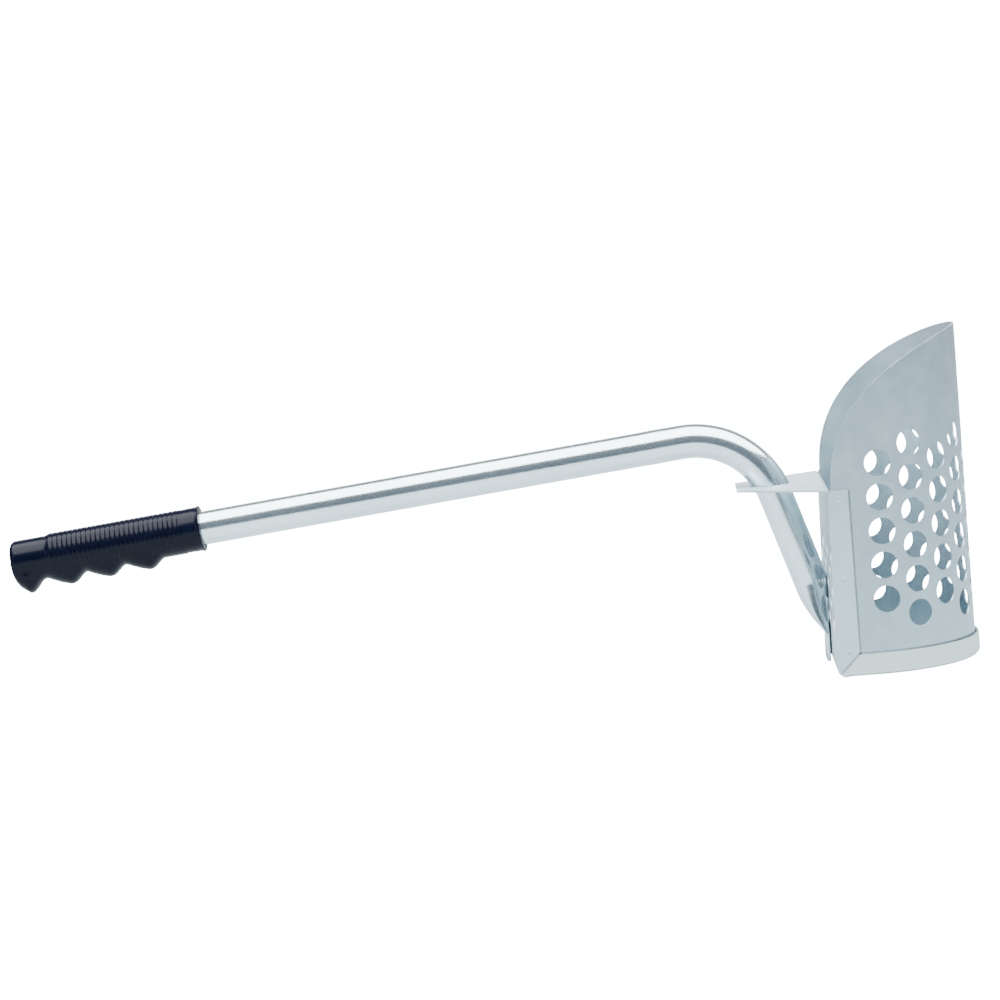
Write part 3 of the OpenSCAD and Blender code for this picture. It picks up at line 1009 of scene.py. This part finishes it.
@dataclass
class Handle:
    """Bent tube, pressed flat at its foot and bolted to the back plate."""

    plate: BackPlate
    bolt: TabBolt
    tube: float = 22.2 * MM
    wall: float = 1.6 * MM
    knee_height: float = 154 * MM
    leg_back: float = 33 * MM
    lean: float = math.radians(17.7)
    fall: float = math.radians(5.6)
    length: float = 484 * MM
    bend: float = 55 * MM
    flat_top: float = 20 * MM
    foot: float = 2.5 * MM
    stand_off: float = 0.4 * MM
    press_steep: float = 1.5
    press_ease: float = 0.25
    press_square: float = 0.45
    sides: int = 64

    @property
    def knee(self) -> Vector:
        """Point where the lines of leg and handle cross."""
        rise = self.knee_height - self.plate.basket.back_height
        return Vector((-self.leg_back - rise * math.tan(self.lean), 0, self.knee_height))

    @property
    def turn(self) -> float:
        """Angle of the bend."""
        return math.pi / 2 - self.lean + self.fall

    @property
    def run(self) -> Vector:
        """Direction from the knee down the handle to its free end."""
        return Vector((-math.cos(self.fall), 0, -math.sin(self.fall)))

    @property
    def bend_low(self) -> Vector:
        """Where the bend runs into the leg."""
        down = Vector((math.sin(self.lean), 0, -math.cos(self.lean)))
        return self.knee + self.bend * math.tan(self.turn / 2) * down

    @property
    def bend_centre(self) -> Vector:
        """Centre of the bend."""
        return self.bend_low + self.bend * Vector((-math.cos(self.lean), 0, -math.sin(self.lean)))

    @property
    def end(self) -> Vector:
        """Middle of the tube's free end."""
        return self.knee + self.length * self.run

    def at_shelf(self) -> Point:
        """Where the tube's line passes the shelf: its X, its Z and its tilt from upright."""
        height = self.plate.basket.back_height - self.plate.thick / 2
        if height > self.bend_low.z:
            tilt = math.asin((height - self.bend_centre.z) / self.bend)
            return self.bend_centre.x + self.bend * math.cos(tilt), height, tilt
        return self.knee.x + (self.knee_height - height) * math.tan(self.lean), height, self.lean

    @property
    def press_top(self) -> float:
        """Height at which the pressing starts."""
        slant = self.tube / 2 / math.cos(self.lean)
        line = self.knee.x + self.knee_height * math.tan(self.lean)
        return ((line + slant + self.bolt.play - self.plate.face(0))
                / (math.tan(self.lean) + math.tan(self.plate.lean)))

    def pressed(self, height: float, angle: float) -> Vector:
        """Point of the pressed foot.

        Args:
            height: Height of the section.
            angle: Angle round the section, 0 towards the basket.

        Returns:
            The point.
        """
        slant = self.tube / math.cos(self.lean)
        tab = self.bolt.tab
        drop = self.press_top - self.flat_top
        share = (height - self.flat_top) / drop
        follow = (math.tan(self.lean) + math.tan(self.plate.lean)) * drop / (slant - tab)
        steep, along = self.press_steep * share, 1 - follow * (1 - share)
        near = max(0.0, 1 - abs(steep - along) / self.press_ease)
        left = max(0.0, min(steep, along) - self.press_ease / 4 * near * near)
        thick = tab + (slant - tab) * left
        girth = math.pi * (self.tube - self.wall)
        wide = max(self.tube, (girth - math.pi * (thick - self.wall)) / 2 + thick)
        power = self.press_square + (1 - self.press_square) * left
        gap = self.stand_off * (1 - left)
        half = (thick - gap) / 2
        middle = self.plate.face(height) - self.bolt.play - gap - half
        fore, aside = math.cos(angle), math.sin(angle)
        return Vector((middle + half * math.copysign(abs(fore) ** power, fore),
                       wide / 2 * math.copysign(abs(aside) ** power, aside), height))

    def press_foot(self, tube: Body, heights: list[float]) -> None:
        """Presses the tube's last rings, one for each height, into the foot."""
        vertices = tube.data.vertices
        first = len(vertices) - len(heights) * self.sides
        forward = Vector((math.cos(self.lean), 0, math.sin(self.lean)))
        for k, height in enumerate(heights):
            middle = self.leg_point(height)
            for vertex in vertices[first + k * self.sides:first + (k + 1) * self.sides]:
                offset = vertex.co - middle
                vertex.co = self.pressed(height, math.atan2(offset.y, offset.dot(forward)))

    def leg_point(self, height: float) -> Vector:
        """Point of the leg's line at a height."""
        return Vector((self.knee.x + (self.knee_height - height) * math.tan(self.lean), 0, height))

    def build(self, finish: bpy.types.Material) -> None:
        """Bends and presses the tube and hands it over."""
        tube = disc(self.sides, self.tube / 2, location=self.end,
                    rotation=(0, math.pi / 2 - self.fall, 0))
        straight = self.length - self.bend * math.tan(self.turn / 2)
        swell = 9 * MM
        steps = [(straight - 3 * swell, 1.0), (swell, 1.014), (swell, 1.006), (swell, 1.0)]
        top, rings = self.press_top, 26
        heights = [top + (self.flat_top - top) * k / rings for k in range(rings + 1)]
        heights += [self.flat_top - 6 * MM, self.foot + 1.2 * MM, self.foot + 0.3 * MM, self.foot]
        with editing(tube):
            take_all("FACE")
            before = 1.0
            for length, size in steps:
                pull(tuple(-self.run * length))
                widen(*(size / before,) * 3)
                before = size
            sweep(tuple(self.bend_centre), (0, 1, 0), self.turn, 36)
            last = self.bend_low
            for height in heights:
                pull(tuple(self.leg_point(height) - last))
                last = self.leg_point(height)
        self.press_foot(tube, heights)
        tidy_shell(tube)
        for tool in (self.bolt.clearance(), self.bolt.countersink()):
            combine(tube, [tool], "DIFFERENCE")
        tidy_shell(tube)
        smooth(tube, 40)
        hand_over(tube, "bent_handle_tube", finish, Slot.TUBE, "handle_tube")


@dataclass
class Grip:
    """Moulded finger grip: closed end, ribbed back, four finger ridges and a flared collar."""

    handle: Handle
    length: float = 127 * MM
    end_thick: float = 4 * MM
    plain: float = 13.55 * MM
    ribbed: float = 14.5 * MM
    rib: float = 0.6 * MM
    rib_pitch: float = 3.2 * MM
    ribs_from: float = 26 * MM
    collar: float = 13 * MM
    collar_r: float = 14.35 * MM
    flare: float = 0.75 * MM
    finger_r: float = 12.3 * MM
    bore: float = 11.15 * MM
    end_play: float = 0.15 * MM
    edge: float = 3.6 * MM
    lip: float = 2.4 * MM
    lip_roll: float = 0.8 * MM
    valley: float = 14.6 * MM
    rise: float = 15 * MM
    fall: float = 11.5 * MM
    nose: float = 11.6 * MM
    blend: float = 0.9 * MM
    sides: int = 72

    #: Distance of each finger ridge from the closed end, and its reach from the tube's line.
    ridges: tuple[tuple[float, float], ...] = ((8.2 * MM, 22.4 * MM), (36.2 * MM, 20.9 * MM),
                                               (62.2 * MM, 20.6 * MM), (88.6 * MM, 20.6 * MM))

    @property
    def last(self) -> float:
        """Where the ribs end and the collar begins."""
        return self.length - self.collar

    def stations(self) -> list[float]:
        """Places of the rings along the grip, from the closed end."""
        ends = [0, 0.25 * MM, 0.9 * MM, 1.9 * MM, 3.2 * MM]
        plain = [4.6 * MM + k * 1.6 * MM for k in range(13)]
        step = self.rib_pitch / 6
        ribs, place = [], self.ribs_from
        while place < self.last:
            ribs.append(place)
            place += step
        collar = [self.last + k * 1.3 * MM for k in range(8)]
        mouth = [self.length - back * MM for back in (2.2, 1.3, 0.7, 0.3, 0.08, 0.0)]
        return ends + plain + ribs + collar + mouth

    def body(self, place: float) -> float:
        """Radius of the round body, without its ribs, at a place along it."""
        if place < self.ribs_from:
            part = max(0.0, 1 - place / self.edge)
            return self.plain - self.edge * (1 - math.sqrt(1 - part * part))
        if place < self.last:
            return self.ribbed
        taper = 0.25 * MM * (place - self.last) / self.collar
        lip = max(0.0, (place - (self.length - self.lip)) / self.lip)
        roll = max(0.0, (place - (self.length - self.lip_roll)) / self.lip_roll)
        return (self.collar_r + taper + self.flare * math.sin(math.pi / 2 * lip)
                - 1.2 * MM * roll ** 2)

    def rib_height(self, place: float) -> float:
        """Height of the ribs at a place along the grip."""
        if not self.ribs_from <= place < self.last - 0.4 * MM:
            return 0.0
        wave = 0.5 - 0.5 * math.cos(2 * math.pi * (place - self.ribs_from) / self.rib_pitch)
        return self.rib * (wave ** 0.8 - 0.4)

    def ridge(self, place: float) -> float:
        """Reach of the finger side from the tube's line, at a place along the grip."""
        reach = self.valley
        for k, (crest, height) in enumerate(self.ridges):
            away, low, share = place - crest, self.valley, 0.0
            if away < 0 and k == 0:
                low, share = self.nose, max(0.0, 1 + away / self.fall) ** 0.85
            elif -self.rise < away <= 0:
                share = 1 - (-away / self.rise) ** 1.35
            elif 0 < away < self.fall:
                share = 0.5 + 0.5 * math.cos(math.pi * (away / self.fall) ** 1.1)
            reach = max(reach, low + (height - low) * share)
        return reach

    def skin(self, place: float, angle: float) -> float:
        """Distance of the skin from the tube's line.

        Args:
            place: Distance from the closed end.
            angle: Angle round the grip, 0 at the fingers.

        Returns:
            The distance.
        """
        body = self.body(place)
        up = (1 - math.cos(angle)) / 2
        ribs = (self.rib_height(place) * min(1.0, max(0.0, (up - 0.16) / 0.16))
                * (1 - 0.7 * max(0.0, (up - 0.85) / 0.15)))
        round_part = body + ribs
        shrink = min(1.0, body / self.plain) if place < self.ribs_from else 1.0
        centre = self.ridge(place) * shrink - self.finger_r
        side = centre * math.sin(angle)
        if (math.cos(angle) < 0 or abs(side) > self.finger_r or centre <= 0
                or place > self.last):
            return round_part
        finger = centre * math.cos(angle) + math.sqrt(self.finger_r ** 2 - side * side)
        mix = max(0.0, self.blend - abs(finger - round_part)) / self.blend
        return max(finger, round_part) + mix * mix * self.blend / 4

    def build(self, finish: bpy.types.Material) -> None:
        """Moulds the grip and hands it over."""
        stations = self.stations()
        depth = self.end_thick + 0.2 * MM
        inner = [(self.length - 0.3 * MM, self.bore + 0.5 * MM),
                 (self.length - 1.2 * MM, self.bore), (depth, self.bore)]
        places = stations + [place for place, _ in inner]
        grip = disc(self.sides, self.plain)
        with editing(grip):
            take_all("FACE")
            for before, after in zip(places, places[1:]):
                pull((0, 0, after - before))
        vertices = grip.data.vertices
        for k, place in enumerate(places):
            for vertex in vertices[k * self.sides:(k + 1) * self.sides]:
                angle = math.atan2(vertex.co.y, vertex.co.x)
                reach = (self.skin(place, angle) if k < len(stations)
                         else inner[k - len(stations)][1])
                vertex.co = (reach * math.cos(angle), reach * math.sin(angle),
                             max(place, self.end_play) - self.end_thick)
        tidy_shell(grip)
        smooth(grip, 50, weighted=False)
        grip.matrix_world = (Matrix.Translation(self.handle.end)
                             @ Matrix.Rotation(math.pi / 2 - self.handle.fall, 4, "Y"))
        set_down(grip)
        hand_over(grip, "finger_grip_moulded", finish, Slot.GRIP, "finger_grip")


# ---------------------------------------------------------------- studio

#: Tints of the soft boxes and of the room.
SOFT, COOL = (0.96, 0.99, 1.0), (0.86, 0.94, 1.0)
#: Corners of each dark card, in turn.
CARDS = {
    "front_card": ((-4.5, -2.45, 0), (3, -2.45, 0), (3, -2.35, 1.7), (-4.5, -2.35, 1.7)),
    "right_card": ((0.9, -2.2, 0.02), (2.1, 1.3, 0.02), (2.1, 1.3, 1.5), (0.9, -2.2, 1.5)),
    "floor_card": ((-4.5, -2.45, 0.001), (3, -2.45, 0.001), (3, -1.1, 0.001), (-4.5, -1.1, 0.001)),
}
#: Place, aim, size, power in watts and tint of each soft box.
BOXES = {
    "overhead_box": ((0.2, -0.5, 1.8), (0.2, -0.5, 0.1), (4.4, 2.4), 315, SOFT),
    "back_box": ((-0.2, 2.8, 1.0), (-0.2, 0, 0.1), (4.4, 1.3), 45, SOFT),
    "left_box": ((-2.3, -1.8, 0.9), (0, 0, 0.1), (0.7, 1.2), 4, COOL),
}


@dataclass
class Studio:
    """Pale glowing floor, soft boxes above, behind and at the left, and dark cards that give the
    metal something to reflect."""

    eye: Point = (-0.1368, -1.9704, 0.3187)
    heading: float = math.radians(3.4)
    dip: float = math.radians(5.7)
    roll: float = math.radians(4.9)
    lens: float = 110.1
    glare: float = 20.0
    spill: float = 0.22
    room: float = 0.16
    tone: float = 0.03

    def floor(self) -> None:
        """Lays the floor, far past the edges of the view."""
        deselect()
        bpy.ops.mesh.primitive_plane_add(size=24, location=(0, 0, -0.2 * MM))
        floor = set_down(bpy.context.object)
        floor.name = "studio_floor"
        floor.data.materials.append(studio_paper("studio_paper", self.glare, self.spill))

    def card(self, name: str, corners: tuple[Point, ...]) -> None:
        """Hangs a dark card that only shows in reflections, from its corners in turn."""
        card = disc(4, 1)
        for vertex, corner in zip(card.data.vertices, corners):
            vertex.co = corner
        card.name = name
        card.visible_camera = False
        card.data.materials.append(studio_card(name + "_paper", self.tone))

    def box(self, name: str, place: Point, aim: Point, size: Span, power: float,
            colour: Colour) -> None:
        """Hangs a soft box.

        Args:
            name: Its name.
            place: Where it hangs.
            aim: What it points at.
            size: Its width and height.
            power: Its power in watts.
            colour: Its colour.
        """
        lamp = bpy.data.lights.new(name, "AREA")
        lamp.shape, lamp.size, lamp.size_y = "RECTANGLE", *size
        lamp.energy, lamp.color = power, colour
        box = bpy.data.objects.new(name, lamp)
        box.location = place
        box.rotation_euler = (Vector(aim) - Vector(place)).to_track_quat("-Z", "Y").to_euler()
        box.visible_camera = False
        bpy.context.scene.collection.objects.link(box)

    def sky(self) -> None:
        """Lights the room evenly and faintly, while the camera sees a bright backdrop."""
        world = bpy.data.worlds.new("studio_room")
        bpy.context.scene.world = world
        world.use_nodes = True
        nodes, links = world.node_tree.nodes, world.node_tree.links
        nodes.clear()
        path, back, light, mix, out = (
            nodes.new("ShaderNode" + kind)
            for kind in ("LightPath", "Background", "Background", "MixShader", "OutputWorld"))
        for sky, strength, colour in ((back, self.glare, (1, 1, 1)), (light, self.room, COOL)):
            sky.inputs["Strength"].default_value = strength
            sky.inputs["Color"].default_value = (*colour, 1)
        links.new(path.outputs["Is Camera Ray"], mix.inputs[0])
        links.new(light.outputs[0], mix.inputs[1])
        links.new(back.outputs[0], mix.inputs[2])
        links.new(mix.outputs[0], out.inputs[0])

    def camera(self) -> None:
        """Sets up the camera at its viewing angle."""
        data = bpy.data.cameras.new("camera")
        data.lens, data.sensor_width = self.lens, 36
        data.clip_start, data.clip_end = 0.05, 60
        camera = bpy.data.objects.new("camera", data)
        camera.matrix_world = (Matrix.Translation(self.eye) @ Matrix.Rotation(self.heading, 4, "Z")
                               @ Matrix.Rotation(math.pi / 2 - self.dip, 4, "X")
                               @ Matrix.Rotation(-self.roll, 4, "Z"))
        bpy.context.scene.collection.objects.link(camera)
        bpy.context.scene.camera = camera

    def build(self) -> None:
        """Sets up the whole studio."""
        self.camera()
        self.floor()
        self.sky()
        for name, corners in CARDS.items():
            self.card(name, corners)
        for name, settings in BOXES.items():
            self.box(name, *settings)


def main() -> None:
    """Builds the scoop and its studio, piece by piece."""
    logging.basicConfig(level=logging.INFO, format="%(name)s: %(message)s")
    Studio().build()
    # The wall alone gets painted shade lines at the hems' edge and the flange's top, and painted
    # shade inside.
    wall = Galvanised("galvanised_wall", (0.54, 0.66, 0.72), (0.44, 0.55, 0.62), 0.42,
                      (-Basket.half_depth + BackPlate.hem + 0.5 * MM,
                       FloorPan.flange + 0.5 * MM)).make()
    sheet = Galvanised("galvanised_plate", (0.71, 0.84, 0.88), (0.61, 0.73, 0.78), 0.46).make()
    drawn = Galvanised("galvanised_pan", (0.84, 0.95, 0.96), (0.73, 0.84, 0.86), 0.46).make()
    hardware = zinc_hardware("zinc_hardware")
    basket = Basket()
    plate = BackPlate(basket)
    bolt = TabBolt(plate)
    handle = Handle(plate, bolt)
    basket.build(wall)
    plate.build(handle, sheet)
    FloorPan(plate).build(drawn)
    handle.build(bright_tube("zinc_tube", handle.fall))
    Grip(handle).build(grip_vinyl("grip_vinyl"))
    bolt.build_bolt(hardware)
    bolt.build_washer(hardware)
    bolt.build_nut(hardware)


if __name__ == "__main__":
    main()
    bpy.context.view_layer.update()
